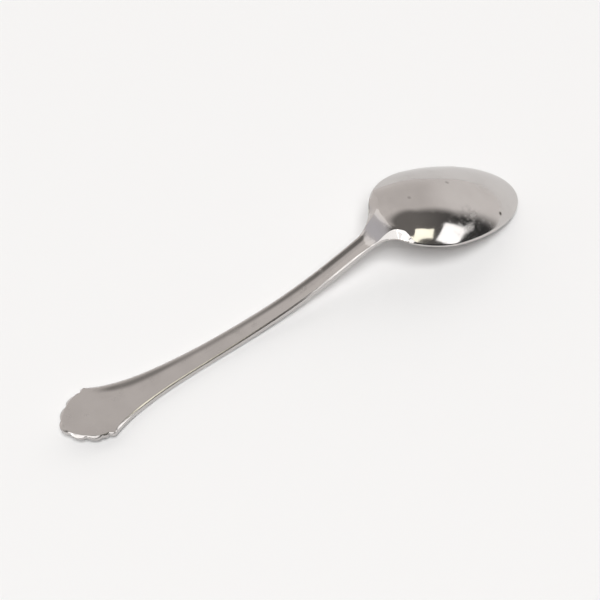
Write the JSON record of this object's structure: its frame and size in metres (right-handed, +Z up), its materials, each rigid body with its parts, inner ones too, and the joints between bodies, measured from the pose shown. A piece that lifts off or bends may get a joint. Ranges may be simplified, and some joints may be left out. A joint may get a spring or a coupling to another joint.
{
  "type": "teaspoon",
  "caption": "Polished steel teaspoon lying face down, with an egg-shaped bowl, a slender curved stem and a flared handle that ends in scallops.",
  "frame": {"origin": "middle of the spoon's footprint, on the surface that it lies on", "axes": "+X from the handle's end to the bowl's tip, +Y across the spoon, +Z up, with the spoon face down"},
  "size_m": [0.14, 0.028, 0.0196],
  "materials": {
    "steel": "polished, with fine wear scratches"
  },
  "bodies": {
    "root": {"handle_end": "steel", "handle_blade": "steel", "stem": "steel", "neck": "steel", "bowl": "steel"}
  },
  "joints": []
}
